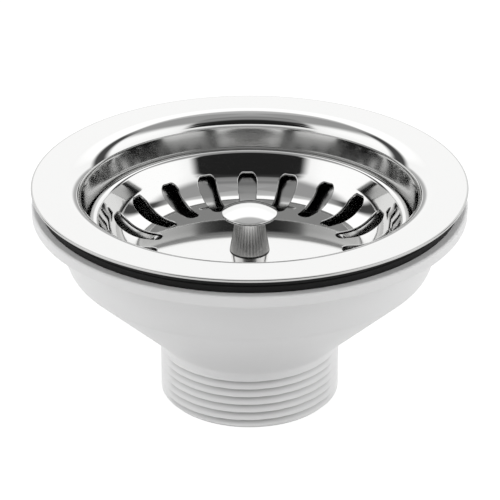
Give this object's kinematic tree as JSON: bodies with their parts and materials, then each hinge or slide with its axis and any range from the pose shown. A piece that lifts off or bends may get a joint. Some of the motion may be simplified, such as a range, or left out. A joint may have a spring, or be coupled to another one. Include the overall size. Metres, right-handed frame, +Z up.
{
  "type": "sink waste",
  "caption": "Strainer sink waste: a polished flanged cup with a lift-out slotted basket, clamped by a central screw to a white funnel body with a threaded outlet.",
  "frame": {"origin": "centre of the outlet's lower end, where the waste stands on a table", "axes": "+Z up along the waste's axis, from the outlet to the flange; +X and +Y lie across it, with one basket slot a degree past +Y"},
  "size_m": [0.114, 0.114, 0.061],
  "materials": {
    "polished_steel": "mirror-polished stainless steel",
    "plain_steel": "turned stainless steel",
    "white_plastic": "fine satin moulded polypropylene",
    "black_rubber": "smooth matt rubber",
    "brass": "turned brass",
    "natural_nylon": "natural nylon"
  },
  "bodies": {
    "waste": {"steel_cup": "polished_steel", "upper_gasket": "black_rubber", "lower_gasket": "black_rubber", "waste_body": "white_plastic", "thread_insert": "brass", "fixing_screw": "plain_steel", "screw_washer": "black_rubber"},
    "sleeve": {"grip_sleeve": "natural_nylon"},
    "basket": {"basket": "polished_steel", "knob_cap": "polished_steel", "knob_stem": "polished_steel", "stem_pin": "plain_steel", "plug_seal": "black_rubber", "seal_plate": "plain_steel", "lock_nut": "plain_steel", "retaining_clip": "plain_steel"}
  },
  "joints": [
    {"name": "basket_lift", "type": "slide", "parent": "waste", "child": "sleeve", "axis": [0, 0, 1], "range_m": [0, 0.046]},
    {"name": "basket_turn", "type": "hinge", "parent": "sleeve", "child": "basket", "pos_m": [0, 0, 0.041], "axis": [0, 0, 1], "continuous": true}
  ]
}
